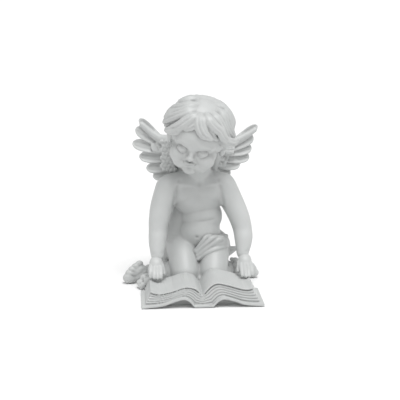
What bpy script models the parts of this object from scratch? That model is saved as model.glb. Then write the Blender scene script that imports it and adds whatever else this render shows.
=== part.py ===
"""Angel figurine: a kneeling winged child bent over an open book, cast in one piece.

Sizes in this file are millimetres, and MM turns them into metres at the very end. x runs to the
viewer's right, y away from the viewer and z up. The child faces the viewer, so its own right
side lies at -x. Every form is a primitive, a chain of primitives or a loft; the forms of one
group are fused by a voxel remesh and smoothed as clay would be, and the groups are then fused.
"""

import math

import bmesh
import bpy
from mathutils import Euler, Matrix, Vector

MM = 0.001

# The origin: the middle of the figurine's bounding box on the ground, in the modelling coordinates.
ORIGIN = Vector((-5.6, -14.0, 0.0))

# The book lies open on the ground in front of the knees.
BOOK_FRONT_Y = -61.0
BOOK_DEPTH = 38.0

# The head is bowed, tilted to the child's left and turned a little to its right.
HEAD_CENTRE = Vector((-1.5, -9.0, 116.8))
HEAD_NOD = 16.0
HEAD_TILT = 14.0
HEAD_TURN = -12.0

# Grain of the fused surface.
GROUP_VOXEL = 1.0
FIGURE_VOXEL = 0.8
FACES_WANTED = 9400

SIDES = 14
CURVE_STEPS = 5

HEAD = Matrix.Translation(HEAD_CENTRE) @ (
    Euler((0, 0, math.radians(HEAD_TURN))).to_matrix()
    @ Euler((0, math.radians(HEAD_TILT), 0)).to_matrix()
    @ Euler((math.radians(HEAD_NOD), 0, 0)).to_matrix()
).to_4x4()
WORLD = Matrix.Identity(4)

HAIR_CENTRE = Vector((0.0, 4.0, 6.5))
HAIR_RADII = Vector((23.0, 22.5, 22.0))


def through(points, steps=CURVE_STEPS):
    """Points along a smooth curve through the given ones; every number of a point is carried along."""
    ends = [points[0], *points, points[-1]]
    found = []
    for a, b, c, d in zip(ends, ends[1:], ends[2:], ends[3:]):
        for step in range(steps):
            t = step / steps
            found.append(
                [
                    0.5 * (2 * q + (r - p) * t + (2 * p - 5 * q + 4 * r - s) * t**2 + (3 * q - p - 3 * r + s) * t**3)
                    for p, q, r, s in zip(a, b, c, d)
                ]
            )
    return [*found, list(points[-1])]


def unit_ball():
    """A sphere of radius one, copied for every ball."""
    clay = bmesh.new()
    bmesh.ops.create_uvsphere(clay, u_segments=22, v_segments=12, radius=1.0)
    mesh = bpy.data.meshes.new("unit_ball")
    clay.to_mesh(mesh)
    clay.free()
    return mesh


def ball(clay, centre, radii, turn=(0, 0, 0), frame=WORLD):
    """An ellipsoid, turned about its centre by degrees round x, y and z."""
    place = frame @ Matrix.Translation(centre) @ Euler([math.radians(a) for a in turn]).to_matrix().to_4x4()
    copy = bpy.data.meshes["unit_ball"].copy()
    copy.transform(place @ Matrix.Diagonal((*radii, 1.0)))
    clay.from_mesh(copy)
    bpy.data.meshes.remove(copy)


def blade(clay, points, outward, frame=WORLD):
    """A flat tapering form with an elliptic section, lofted along a curve.

    A point is (x, y, z, half width, half thickness). outward gives, for a place on the curve, the
    direction in which the form is thin.
    """
    loft(clay, through(points), outward, frame)


def tube(clay, points, frame=WORLD):
    """A limb with a round section along a curve, with a ball at every station. A point is (x, y, z, radius)."""
    travel = [sum(abs(b[axis] - a[axis]) for a, b in zip(points, points[1:])) for axis in range(3)]
    across = Vector([float(axis == travel.index(min(travel))) for axis in range(3)])
    stations = [(x, y, z, radius, radius) for x, y, z, radius in through(points)]
    loft(clay, stations, lambda place: across, frame)
    for x, y, z, radius, _ in stations:
        ball(clay, (x, y, z), (radius, radius, radius), frame=frame)


def loft(clay, stations, outward, frame):
    """Elliptic rings at the stations, joined into one closed skin."""
    rings = []
    for i, (x, y, z, width, thickness) in enumerate(stations):
        here = Vector((x, y, z))
        before = Vector(stations[max(i - 1, 0)][:3])
        after = Vector(stations[min(i + 1, len(stations) - 1)][:3])
        along = (after - before).normalized()
        thin = outward(here)
        thin = (thin - along * thin.dot(along)).normalized()
        wide = along.cross(thin)
        ring = []
        for side in range(SIDES):
            angle = math.tau * side / SIDES
            corner = here + wide * (width * math.cos(angle)) + thin * (thickness * math.sin(angle))
            ring.append(clay.verts.new(frame @ corner))
        rings.append(ring)
    for ring, following in zip(rings, rings[1:]):
        for side in range(SIDES):
            next_side = (side + 1) % SIDES
            clay.faces.new((ring[side], ring[next_side], following[next_side], following[side]))
    clay.faces.new(reversed(rings[0]))
    clay.faces.new(rings[-1])


def build_body(clay):
    """Trunk, neck, arms, hands, legs and feet."""
    ball(clay, (-1.0, 18.0, 17.0), (25.0, 17.0, 19.0))
    ball(clay, (-1.0, 13.0, 30.0), (23.5, 15.0, 17.0))
    ball(clay, (1.5, 6.0, 41.0), (15.5, 14.5, 14.5))
    ball(clay, (3.0, 7.5, 53.0), (15.8, 12.8, 15.0))
    ball(clay, (-1.0, 6.0, 68.0), (20.0, 12.5, 14.5))
    ball(clay, (-1.0, 12.0, 72.0), (19.0, 9.0, 13.0))
    ball(clay, (-11.0, 16.5, 49.0), (15.5, 11.0, 18.0))
    ball(clay, (-15.0, 17.0, 37.0), (15.0, 12.0, 15.0))
    ball(clay, (-14.0, 19.0, 25.0), (16.0, 13.0, 14.0))
    ball(clay, (-13.2, 16.9, 43.0), (14.9, 11.4, 13.0))
    ball(clay, (-14.6, 18.2, 31.0), (15.3, 12.5, 12.0))
    tube(clay, [(-22, 5, 77, 10.0), (-1, 5, 80, 10.5), (19, 5, 77.5, 10.0)])
    tube(clay, [(0, 5, 84, 10.3), (0, -0.5, 98, 9.0)])
    # Right arm, then left arm, from the shoulder to the wrist.
    tube(
        clay,
        [(-23.5, 4, 76, 10.2), (-28.5, 0, 63, 9.2), (-31, -4, 53, 8.2), (-32, -7, 46, 7.2), (-32.6, -11, 38, 7.1), (-33, -17, 28, 5.2)],
    )
    tube(
        clay,
        [(19.5, 4, 76.5, 10.0), (26.5, 0, 63.5, 8.8), (30.5, -4, 54.5, 8.2), (33, -7, 46.5, 7.3), (33.4, -11, 39, 7.2), (32.2, -17, 29, 4.9)],
    )
    build_hand(clay, wrist=Vector((-33.0, -17.0, 28.0)), lean=-1.0, reach=9.5)
    build_hand(clay, wrist=Vector((32.2, -17.0, 29.0)), lean=1.0, reach=12.5)
    # Thighs, shins and feet.
    tube(clay, [(-12.5, 13, 27, 14.0), (-12.5, 0, 24, 12.0), (-11.5, -12.5, 12.0, 10.3)])
    tube(clay, [(12.0, 13, 27, 14.0), (11.4, 0, 24, 12.0), (10.8, -12.5, 12.0, 10.6)])
    ball(clay, (-26.0, 14.0, 17.0), (5.5, 9.0, 10.0))
    tube(clay, [(-13, -9, 9, 9.0), (-26, 3, 8.5, 9.0), (-38, 8, 8, 6.0)])
    tube(clay, [(13, -9, 9, 9.0), (23, 9, 8.0, 7.4), (33, 13, 7.5, 6.0)])
    build_foot(clay, ankle=Vector((-38.0, 8.0, 8.0)), point=Vector((-1.0, -0.22, 0.0)), reach=16.8, height=16.5)
    build_foot(clay, ankle=Vector((33.0, 15.0, 7.5)), point=Vector((1.0, -0.1, 0.0)), reach=11.0, height=15.0)


def build_hand(clay, wrist, lean, reach):
    """A chubby hand laid on the page: palm, four fingers fanned forward and the thumb on the inner side."""
    palm = wrist + Vector((lean * 1.2, -4.5, -5.0))
    ball(clay, palm, (5.3, 6.3, 4.3), turn=(42, 0, 0))
    for finger, share in enumerate((0.88, 1.0, 0.90, 0.70)):
        spread = lean * (finger - 1.3)
        root = palm + Vector((spread * 2.2, -2.5, -1.4))
        knuckle = palm + Vector((spread * 2.5, -6.0, -3.3))
        tip = palm + Vector((spread * 2.6, -3.6 - reach * share, -8.0))
        tube(clay, [(*root, 2.0), (*knuckle, 1.95), (*tip, 1.4)])
    thumb_root = palm + Vector((-lean * 4.0, -0.5, -1.0))
    thumb_tip = palm + Vector((-lean * 5.8, -7.0, -6.4))
    tube(clay, [(*thumb_root, 2.2), (*((thumb_root + thumb_tip) / 2), 2.0), (*thumb_tip, 1.5)])


def build_foot(clay, ankle, point, reach, height):
    """A foot lying on its inner edge with its instep to the front and five toes up its far end."""
    along = point.normalized()
    middle = ankle + along * (reach * 0.50)
    ball(clay, (ankle.x, ankle.y + 1.0, 7.0), (6.5, 6.5, 7.0))
    ball(clay, (middle.x, middle.y, height * 0.46), (reach * 0.58, height * 0.34, height * 0.48))
    for toe in range(5):
        share = toe / 4
        size = height * (0.26 - 0.11 * share**0.5)
        place = ankle + along * (reach * (1.0 - 0.48 * share**1.6))
        level = height * (0.28 + 0.66 * share**0.8)
        ball(clay, (place.x, place.y, level), (size * 1.25, size, size))


def build_head(clay):
    """Skull, ears and the plain masses of a calm child's face."""
    for centre, radii in (
        ((0, 3.0, 5.0), (21.0, 22.0, 20.5)),
        ((0, -6.5, 4.0), (17.5, 15.5, 15.0)),
        ((0, -6.8, -7.6), (17.2, 13.2, 14.6)),
        ((0, -14.2, -19.4), (5.4, 5.0, 4.4)),
        ((0, -14.6, -13.6), (10.4, 5.0, 6.0)),
        ((-9.6, -12.8, -10.0), (7.4, 6.4, 7.2)),
        ((-7.0, -11.6, -15.4), (7.2, 6.4, 5.8)),
        ((9.6, -12.8, -10.0), (7.4, 6.4, 7.2)),
        ((7.0, -11.6, -15.4), (7.2, 6.4, 5.8)),
        ((-7.6, -16.6, -3.4), (4.1, 3.2, 2.9)),
        ((7.6, -16.6, -3.4), (4.1, 3.2, 2.9)),
        ((0, -21.8, -7.9), (2.7, 2.5, 2.2)),
        ((-20.0, 1.0, -5.0), (2.6, 3.8, 5.4)),
        ((20.0, 1.0, -5.0), (2.6, 3.8, 5.4)),
    ):
        ball(clay, centre, radii, frame=HEAD)
    tube(clay, [(0, -18.6, 0.5, 2.3), (0, -20.9, -6.8, 2.0)], frame=HEAD)
    tube(clay, [(-12.5, -16.5, 1.6, 1.6), (-7.5, -20.0, 2.6, 1.9), (-3.0, -20.4, 1.2, 1.6)], frame=HEAD)
    tube(clay, [(12.5, -16.5, 1.6, 1.6), (7.5, -20.0, 2.6, 1.9), (3.0, -20.4, 1.2, 1.6)], frame=HEAD)


def on_scalp(azimuth, elevation, lift):
    """A place over the hair's mass, in the head's frame. Azimuth 0 is the forehead and 90 the child's left ear."""
    a, e = math.radians(azimuth), math.radians(elevation)
    way = Vector((math.sin(a) * math.cos(e), -math.cos(a) * math.cos(e), math.sin(e)))
    return HAIR_CENTRE + Vector(w * r * lift for w, r in zip(way, HAIR_RADII))


def from_scalp(place):
    return (place - HAIR_CENTRE).normalized()


# Each lock runs from the crown or parting to its end: (azimuth, elevation, lift, half width).
LOCKS = (
    # Crown to the child's right: three tufts that step down the outline.
    ((-138, 68, 1.04, 3.4), (-101, 62, 1.08, 4.6), (-92, 52, 1.10, 4.4), (-93, 41, 1.10, 2.6)),
    ((-57, 78, 1.03, 3.4), (-52, 57, 1.08, 4.8), (-64, 41, 1.09, 4.8), (-88, 25, 1.12, 3.4), (-88, 20, 1.14, 2.2)),
    ((-24, 68, 1.02, 3.2), (-40, 47, 1.08, 4.4), (-56, 30, 1.10, 4.6), (-75, 10, 1.12, 4.4), (-77, 1, 1.20, 2.4)),
    ((-56, 34, 1.04, 3.0), (-70, 22, 1.11, 3.8), (-84, 10, 1.16, 3.4), (-90, 4, 1.23, 2.0)),
    # From the parting along the brow towards the child's right ear.
    ((-4, 56, 1.02, 2.6), (-15, 42, 1.08, 3.8), (-25, 29, 1.10, 4.2), (-35, 15, 1.11, 4.0), (-53, 3, 1.10, 2.2)),
    ((-3, 47, 1.02, 2.0), (-3, 34, 1.07, 2.8), (-10, 24, 1.09, 2.8), (-22, 15, 1.09, 1.6)),
    ((-24, 18, 1.02, 2.4), (-37, 6, 1.08, 3.4), (-55, -4, 1.10, 3.4), (-72, -12, 1.18, 2.0)),
    # Fringe over the forehead.
    ((1, 56, 1.03, 2.6), (1, 41, 1.09, 4.2), (6, 28, 1.12, 4.6), (14, 17, 1.13, 4.0), (29, 9, 1.13, 1.8)),
    ((9, 56, 1.02, 2.6), (14, 40, 1.07, 3.8), (24, 26, 1.10, 4.2), (36, 15, 1.12, 3.6), (49, 6, 1.13, 1.8)),
    # Waves over the temple to the child's left ear.
    ((15, 60, 1.04, 2.6), (21, 43, 1.11, 4.0), (31, 32, 1.14, 4.0), (42, 24, 1.15, 3.8), (48, 13, 1.16, 3.2), (60, 3, 1.16, 1.8)),
    ((42, 65, 1.03, 3.0), (45, 46, 1.09, 4.2), (50, 31, 1.11, 4.2), (54, 17, 1.14, 3.8), (68, 2, 1.15, 2.0)),
    ((86, 66, 1.02, 3.2), (73, 49, 1.08, 4.6), (69, 32, 1.08, 4.4), (75, 17, 1.10, 3.8), (86, 4, 1.16, 2.2)),
    ((129, 60, 1.00, 3.4), (112, 45, 1.03, 4.8), (100, 30, 1.03, 4.4), (95, 15, 1.04, 3.6), (100, 2, 1.10, 2.2)),
    # Curls that turn out over the wing and before the ear.
    ((48, 12, 1.10, 2.8), (60, 3, 1.16, 3.8), (72, -1, 1.23, 3.6), (80, 3, 1.31, 2.0)),
    ((50, 2, 1.08, 2.6), (62, -5, 1.14, 3.2), (74, -9, 1.19, 2.8), (82, -6, 1.25, 1.6)),
    ((-66, -8, 1.02, 2.2), (-66, -20, 1.06, 3.0), (-74, -31, 1.10, 2.6), (-84, -26, 1.15, 1.4)),
)
BACK_LOCK_COUNT = 9


def build_hair(clay):
    """The mass of the hair, its swept locks and the curls on the neck and before the ears."""
    ball(clay, HAIR_CENTRE, HAIR_RADII, frame=HEAD)
    ball(clay, (0, 10, -8), (17.5, 13.5, 13), frame=HEAD)
    for lock in LOCKS:
        comb(clay, lock)
    for index in range(BACK_LOCK_COUNT):
        azimuth = 104 + index * 152 / (BACK_LOCK_COUNT - 1)
        comb(
            clay,
            (
                (azimuth, 76, 1.00, 3.4),
                (azimuth + 4, 46, 1.07, 4.8),
                (azimuth + 9, 14, 1.07, 5.0),
                (azimuth, -14, 1.08, 4.4),
                (azimuth + 6, -36 + 6 * (index % 2), 1.12, 2.0),
            ),
        )


def comb(clay, lock):
    """One lock laid over the scalp; it is a little over half as thick as it is wide."""
    points = [(*on_scalp(azimuth, elevation, lift), width, 0.62 * width) for azimuth, elevation, lift, width in lock]
    blade(clay, points, from_scalp, frame=HEAD)


# A wing: its leading edge from the shoulder blade to the tip, and the root and tip of each long feather.
RIGHT_WING_EDGE = ((-8, 14, 74, 5.5), (-12, 18, 95, 5.0), (-19, 20.5, 107, 4.2), (-31, 23, 112.5, 3.0), (-43, 26, 122.5, 2.0))
RIGHT_FEATHERS = (
    ((-22, 22, 104.5), (-44.5, 26.5, 126.6)),
    ((-20, 21.5, 105), (-47.3, 26.5, 119.4)),
    ((-19, 21, 103), (-50.0, 26.0, 108.0)),
    ((-17, 20.5, 98), (-44.8, 25.5, 97.6)),
    ((-15, 20, 93), (-39.4, 24.0, 88.3)),
    ((-13, 19, 88), (-34.4, 22.0, 82.2)),
    ((-11, 18, 83), (-28.0, 20.5, 76.5)),
)
LEFT_WING_EDGE = ((8, 14, 74, 5.5), (12, 18, 94, 5.0), (19, 20.5, 105, 4.2), (31, 24, 109.5, 2.8), (46, 27.5, 117.0, 1.8))
LEFT_FEATHERS = (
    ((22, 22.5, 103.5), (47.6, 28.5, 120.4)),
    ((20, 22, 103), (44.3, 28.0, 111.9)),
    ((19, 21.5, 101), (43.0, 27.5, 103.5)),
    ((17, 21, 97), (41.1, 27.0, 96.2)),
    ((15, 20, 92), (33.5, 24.5, 91.0)),
    ((13, 19, 87), (26.0, 22.5, 84.6)),
    ((11, 18, 82), (22.5, 20.5, 78.8)),
)
FEATHER_HALF_WIDTH = 5.2
FEATHER_HALF_THICKNESS = 1.7


def build_wing(clay, edge, feathers, side):
    """The thick leading edge, a row of long feathers and a row of short ones before and behind it."""
    tube(clay, edge)
    # Down at the root.
    tube(clay, [(side * 20.5, 16.5, 91, 3.2), (side * 24.0, 17.5, 102, 3.4), (side * 27.0, 18.5, 111, 2.8)])
    thin = Vector((0.2 * side, -1.0, 0.12)).normalized()
    for index, (root, tip) in enumerate(feathers):
        root, tip = Vector(root), Vector(tip)
        middle = root.lerp(tip, 0.55) + Vector((0, 0.8, -0.8 - 0.2 * index))
        spread = FEATHER_HALF_WIDTH * (1.0 - 0.04 * index if index else 0.72)
        blade(
            clay,
            [
                (*root, spread * 0.7, FEATHER_HALF_THICKNESS * 1.4),
                (*middle, spread, FEATHER_HALF_THICKNESS * 1.15),
                (*root.lerp(tip, 0.88), spread * 0.84, FEATHER_HALF_THICKNESS),
                (*tip, spread * 0.30, FEATHER_HALF_THICKNESS * 0.6),
            ],
            lambda place: thin,
        )
        for face in (-1, 1):
            lifted = Vector((0, face * 2.0, 0))
            cut = root.lerp(tip, 0.52) + lifted
            start = root + lifted
            blade(
                clay,
                [
                    (*start, spread * 0.6, 1.7),
                    (*start.lerp(cut, 0.55), spread * 0.88, 1.8),
                    (*cut, spread * 0.34, 0.9),
                ],
                lambda place: thin,
            )


# Outlines across the spine, (x, height): the upper pages and the upper face of the cover, left and right.
LEFT_PAGE = ((-39.1, 13.1), (-32.5, 11.2), (-23.0, 13.0), (-13.7, 15.8), (-6.0, 14.2), (-1.8, 8.8))
RIGHT_PAGE = ((-1.8, 8.8), (2.4, 15.2), (8.1, 18.6), (17.0, 17.0), (28.8, 13.7), (34.6, 14.9))
LEFT_COVER = ((-46.0, 2.3), (-31.0, 3.8), (-22.0, 6.9), (-15.3, 8.4), (-11.0, 6.4), (-7.6, 2.4))
RIGHT_COVER = ((6.2, 2.4), (9.8, 6.2), (14.4, 8.2), (21.5, 6.4), (30.0, 3.6), (43.6, 2.3))
COVER_THICKNESS = 2.0
HOLLOW_DEPTH = 6.0


def build_book(clay):
    """Page block, cover and the closed ground behind the hollows under the cover."""
    pages = [*through(LEFT_PAGE)[:-1], *through(RIGHT_PAGE)]
    cover = [*through(LEFT_COVER), *through(RIGHT_COVER)]
    under = [(x, max(z - COVER_THICKNESS, -1.0)) for x, z in cover]
    back = BOOK_FRONT_Y + BOOK_DEPTH
    # The fore-edges of the pages slope out to the cover.
    sunk = [(x * 0.965, z - 0.8) for x, z in cover]
    extrude(clay, [*pages, *reversed(sunk)], BOOK_FRONT_Y, back)
    extrude(clay, [*cover, *reversed([(x, z - COVER_THICKNESS) for x, z in cover])], BOOK_FRONT_Y - 2.0, back + 1.0)
    grounded = [(x * 0.97, z + 0.6) for x, z in under]
    floor = [(grounded[-1][0], -2.0), (grounded[0][0], -2.0)]
    extrude(clay, [*grounded, *floor], BOOK_FRONT_Y + HOLLOW_DEPTH, back + 1.0)


def extrude(clay, outline, front, back):
    """A closed outline of (x, z) points drawn out from front to back along y."""
    near = [clay.verts.new((x, front, z)) for x, z in outline]
    far = [clay.verts.new((x, back, z)) for x, z in outline]
    for i in range(len(outline)):
        j = (i + 1) % len(outline)
        clay.faces.new((near[j], near[i], far[i], far[j]))
    clay.faces.new(near)
    clay.faces.new(reversed(far))


def build_cloth(clay):
    """The cloth gathered at the child's left hip: folds fanned from the lap, the knot, its tail and the heap below."""
    for top_x, top_z, y in ((6.5, 40.0, -7.5), (12, 39.0, -6.5), (17, 36.5, -4.0), (19, 33.0, -1.0)):
        tube(clay, [(-1.5, -8.5, 27.5, 2.0), ((top_x - 1) / 2, y - 1.5, (top_z + 27) / 2, 2.4), (top_x, y, top_z, 2.4)])
    tube(clay, [(-1.0, -8.8, 24.0, 2.0), (7, -9.8, 28.5, 2.4), (14, -8.0, 30.8, 2.6), (20, -1.0, 30.8, 2.8)])
    ball(clay, (18.5, 5.0, 33.0), (5.4, 6.5, 6.0))
    blade(
        clay,
        [(20, 5.5, 24, 4.8, 2.6), (24.6, 7.0, 25.2, 3.0, 2.0), (30.8, 8, 26.6, 1.4, 1.1)],
        lambda place: Vector((0, -1, 0)),
    )
    tube(clay, [(17, 12, 31, 4.5), (18, 13, 18, 5.0), (21, 13, 6, 5.5)])
    tube(clay, [(17, 19, 30, 4.5), (18, 20, 18, 5.0), (21, 19, 6, 5.5)])
    tube(clay, [(-22, 14, 33, 3.0), (-15, 27, 31, 3.0), (0, 31.5, 29, 3.2), (13, 27, 31, 3.2), (19.5, 13, 33, 3.2)])
    for x, y, z, size in ((28.4, 7, 16.4, 2.8), (31.4, 6, 12, 3.6), (33, 4, 7, 3.6), (29, 2, 5, 4.4), (35.5, 3, 4, 3.2)):
        ball(clay, (x, y, z), (size, size * 0.9, size))
    for x, y, z, size in ((-46, -9, 5, 3.4), (-43.5, -13, 4, 3.8), (-39.5, -12, 7, 4.4), (-42, -6, 8, 3.8), (-38, -3, 7, 4.6)):
        ball(clay, (x, y, z), (size, size * 0.9, size))


def fused(name, build, passes):
    """The forms of one group as one closed surface, softened by this many smoothing passes."""
    clay = bmesh.new()
    build(clay)
    bmesh.ops.recalc_face_normals(clay, faces=clay.faces)
    mesh = bpy.data.meshes.new(name)
    clay.to_mesh(mesh)
    clay.free()
    obj = bpy.data.objects.new(name, mesh)
    bpy.context.scene.collection.objects.link(obj)
    remesh = obj.modifiers.new("Fuse", "REMESH")
    remesh.mode = "VOXEL"
    remesh.voxel_size = GROUP_VOXEL
    smooth = obj.modifiers.new("Soften", "SMOOTH")
    smooth.factor = 0.5
    smooth.iterations = passes
    bpy.context.view_layer.update()
    graph = bpy.context.evaluated_depsgraph_get()
    baked = bpy.data.meshes.new_from_object(obj.evaluated_get(graph))
    bpy.data.objects.remove(obj)
    return baked


def porcelain():
    material = bpy.data.materials.new("white_glaze")
    material.use_nodes = True
    shader = material.node_tree.nodes["Principled BSDF"]
    shader.inputs["Base Color"].default_value = (0.72, 0.73, 0.73, 1.0)
    shader.inputs["Roughness"].default_value = 0.28
    shader.inputs["Metallic"].default_value = 0.0
    return material


def main():
    for obj in list(bpy.data.objects):
        bpy.data.objects.remove(obj)
    parts = bpy.data.collections.new("angel_figurine")
    cutters = bpy.data.collections.new("cutters")
    bpy.context.scene.collection.children.link(parts)
    bpy.context.scene.collection.children.link(cutters)

    unit_ball()
    whole = bmesh.new()
    for name, build, passes in (
        ("body", build_body, 14),
        ("head", build_head, 5),
        ("hair", build_hair, 2),
        ("right_wing", lambda clay: build_wing(clay, RIGHT_WING_EDGE, RIGHT_FEATHERS, -1), 2),
        ("left_wing", lambda clay: build_wing(clay, LEFT_WING_EDGE, LEFT_FEATHERS, 1), 2),
        ("book", build_book, 1),
        ("cloth", build_cloth, 3),
    ):
        baked = fused(name, build, passes)
        whole.from_mesh(baked)
        bpy.data.meshes.remove(baked)
    mesh = bpy.data.meshes.new("angel_figurine")
    whole.to_mesh(mesh)
    whole.free()
    mesh.transform(Matrix.Scale(MM, 4) @ Matrix.Translation(-ORIGIN))
    mesh.materials.append(porcelain())
    figure = bpy.data.objects.new("angel_figurine", mesh)
    parts.objects.link(figure)

    remesh = figure.modifiers.new("Fuse", "REMESH")
    remesh.mode = "VOXEL"
    remesh.voxel_size = FIGURE_VOXEL * MM
    smooth = figure.modifiers.new("Soften", "SMOOTH")
    smooth.factor = 0.5
    smooth.iterations = 2
    bpy.context.view_layer.update()
    graph = bpy.context.evaluated_depsgraph_get()
    fine = figure.evaluated_get(graph).data
    fine.calc_loop_triangles()
    decimate = figure.modifiers.new("Simplify", "DECIMATE")
    decimate.ratio = FACES_WANTED / len(fine.loop_triangles)

    bpy.ops.mesh.primitive_cube_add(size=0.3, location=(0, 0, -0.15))
    floor = bpy.context.object
    floor.name = "floor_cutter"
    floor.hide_render = True
    floor.display_type = "WIRE"
    for collection in list(floor.users_collection):
        collection.objects.unlink(floor)
    cutters.objects.link(floor)
    cut = figure.modifiers.new("Flat base", "BOOLEAN")
    cut.operation = "DIFFERENCE"
    cut.solver = "EXACT"
    cut.object = floor


main()
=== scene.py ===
"""Angel figurine in white glaze: a kneeling winged child bent over an open book.

Sizes are millimetres until the last step, which turns them into metres and moves them to the
frame's origin. x runs to the viewer's right, y away from the viewer and z up. Every form is a
surface of two parameters; the forms are fused by a voxel remesh, as clay is pressed together,
and the soft flesh is smoothed before the locks, feathers, fingers and pages are laid on it.
"""

import bpy
import numpy as np
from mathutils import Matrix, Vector


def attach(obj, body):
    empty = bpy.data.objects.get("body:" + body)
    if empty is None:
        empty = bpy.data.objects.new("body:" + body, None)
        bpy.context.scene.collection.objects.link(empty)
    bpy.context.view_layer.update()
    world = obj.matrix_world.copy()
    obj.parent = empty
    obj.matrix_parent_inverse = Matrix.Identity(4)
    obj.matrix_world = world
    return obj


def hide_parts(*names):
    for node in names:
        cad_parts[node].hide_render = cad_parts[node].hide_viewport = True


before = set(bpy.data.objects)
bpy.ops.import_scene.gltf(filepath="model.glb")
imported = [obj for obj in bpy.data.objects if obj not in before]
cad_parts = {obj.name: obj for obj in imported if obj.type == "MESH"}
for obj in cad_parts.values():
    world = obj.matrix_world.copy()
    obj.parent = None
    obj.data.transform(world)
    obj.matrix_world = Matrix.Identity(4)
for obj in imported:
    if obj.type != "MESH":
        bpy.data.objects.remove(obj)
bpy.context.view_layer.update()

MM = 0.001
# The frame's origin, in this script's millimetres.
ORIGIN = np.array((-5.6, -14.0, 0.0))

# Grain of the fused surfaces: flesh, face and hair, cloth, fingers and feathers, and the whole.
FLESH_VOXEL = 0.7
HEAD_VOXEL = 0.5
CLOTH_VOXEL = 0.5
FINE_VOXEL = 0.45
WHOLE_VOXEL = 0.35
TRIANGLES = 196000


# Surfaces of two parameters.


def turn(x=0.0, y=0.0, z=0.0):
    """Rotation by degrees round x, then y, then z."""
    cx, cy, cz = np.cos(np.radians((x, y, z)))
    sx, sy, sz = np.sin(np.radians((x, y, z)))
    about_x = np.array(((1, 0, 0), (0, cx, -sx), (0, sx, cx)))
    about_y = np.array(((cy, 0, sy), (0, 1, 0), (-sy, 0, cy)))
    about_z = np.array(((cz, -sz, 0), (sz, cz, 0), (0, 0, 1)))
    return about_z @ about_y @ about_x


def unit(vectors):
    """Vectors divided by their own length."""
    return vectors / np.maximum(np.linalg.norm(vectors, axis=-1, keepdims=True), 1e-9)


def through(points, steps=8):
    """Curve through points: between two, the cubic whose slope at each is half the step past it."""
    p = np.vstack((points[:1], points, points[-1:])).astype(float)
    a, b, c, d = p[:-3, None], p[1:-2, None], p[2:-1, None], p[3:, None]
    t = (np.arange(steps) / steps)[None, :, None]
    square = 2 * a - 5 * b + 4 * c - d
    cube = 3 * b - a - 3 * c + d
    curve = 0.5 * (2 * b + (c - a) * t + square * t**2 + cube * t**3)
    return np.vstack((curve.reshape(-1, p.shape[1]), p[-1:]))


def ball(centre, radii, rotation=None, rows=22, columns=36):
    """Ellipsoid: the unit sphere by polar angle and longitude, stretched, turned and moved."""
    polar = np.linspace(0.0, np.pi, rows)[:, None]
    longitude = np.linspace(0.0, 2 * np.pi, columns, endpoint=False)[None, :]
    across = np.sin(polar)
    level = np.cos(polar) * np.ones_like(longitude)
    sphere = np.stack((across * np.cos(longitude), across * np.sin(longitude), level), axis=-1)
    skin = sphere * np.array(radii, float)
    if rotation is not None:
        skin = skin @ rotation.T
    return skin + np.array(centre, float)


def blade(points, thin, relief=None, bend=None, square=1.0, columns=40, steps=8):
    """Flat tapering form: an ellipse carried along a curve and closed by a half round at each end.

    Columns of points are x, y, z, half width and half thickness. thin gives the thin direction at
    places on the curve. relief(across, along) is added to the half thickness; across is the cosine
    of the section angle, and along runs from 0 to 1. bend(across, along) moves both faces along the
    thin direction. square is the power of the section's sine: below 1 the edges are fuller.
    """
    curve = through(np.array(points, float), steps)
    place, half_width, half_thickness = curve[:, :3], curve[:, 3], curve[:, 4]
    tangent = unit(np.gradient(place, axis=0))
    flat = thin(place)
    flat = unit(flat - tangent * np.sum(flat * tangent, axis=1, keepdims=True))
    wide = np.cross(tangent, flat)
    # Half rounds: the end ring shrinks by the sine of an angle while it moves out by its cosine.
    cap = np.radians((4.0, 28.0, 54.0, 76.0))
    first = np.stack((np.zeros(4), -np.cos(cap), np.sin(cap)), axis=1)
    last = np.stack((np.full(4, len(place) - 1), np.cos(cap[::-1]), np.sin(cap[::-1])), axis=1)
    body = np.stack((np.arange(len(place)), np.zeros(len(place)), np.ones(len(place))), axis=1)
    row = np.vstack((first, body, last))
    index = row[:, 0].astype(int)
    angle = np.linspace(0.0, 2 * np.pi, columns, endpoint=False)[None, :]
    across = np.cos(angle) * np.ones((len(row), 1))
    up = np.sign(np.sin(angle)) * np.abs(np.sin(angle)) ** square
    along = (index / (len(place) - 1))[:, None] * np.ones_like(across)
    thickness = half_thickness[index][:, None] * np.ones_like(across)
    shift = np.zeros_like(across)
    if relief is not None:
        thickness = thickness + relief(across, along)
    if bend is not None:
        shift = bend(across, along)
    scale = row[:, 2][:, None]
    centre = place[index] + tangent[index] * (row[:, 1] * half_thickness[index])[:, None]
    return (
        centre[:, None]
        + wide[index][:, None] * (half_width[index][:, None] * across * scale)[..., None]
        + flat[index][:, None] * ((thickness * up + shift) * scale)[..., None]
    )


def always(way):
    """The same thin direction at every place of a blade."""
    return lambda place: np.tile(way, (len(place), 1))


def limb(points, columns=32, steps=8):
    """Round form: a circle carried along a curve, whose points are x, y, z and radius.

    It is a blade as thick as it is wide; its thin direction is the axis that the curve follows least.
    """
    p = np.array(points, float)
    across = np.eye(3)[np.argmin(np.abs(np.diff(p[:, :3], axis=0)).sum(axis=0))]
    doubled = np.column_stack((p, p[:, 3]))
    return blade(doubled, always(across), columns=columns, steps=steps)


def slab(upper, lower, front, back):
    """The space between two curves of x and z, drawn out straight from front to back.

    The end rings shrink to the line half way between the curves, which closes both ends flat.
    """
    outline = np.vstack((upper, lower[::-1]))
    middle = np.vstack((0.5 * (upper + lower), 0.5 * (upper + lower)[::-1]))
    scale = np.array((0.0, 1.0, 1.0, 0.0))[:, None, None]
    section = middle + (outline - middle) * scale
    y = np.broadcast_to(np.array((front, front, back, back))[:, None], section.shape[:2])
    return np.stack((section[..., 0], y, section[..., 1]), axis=-1)


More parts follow.
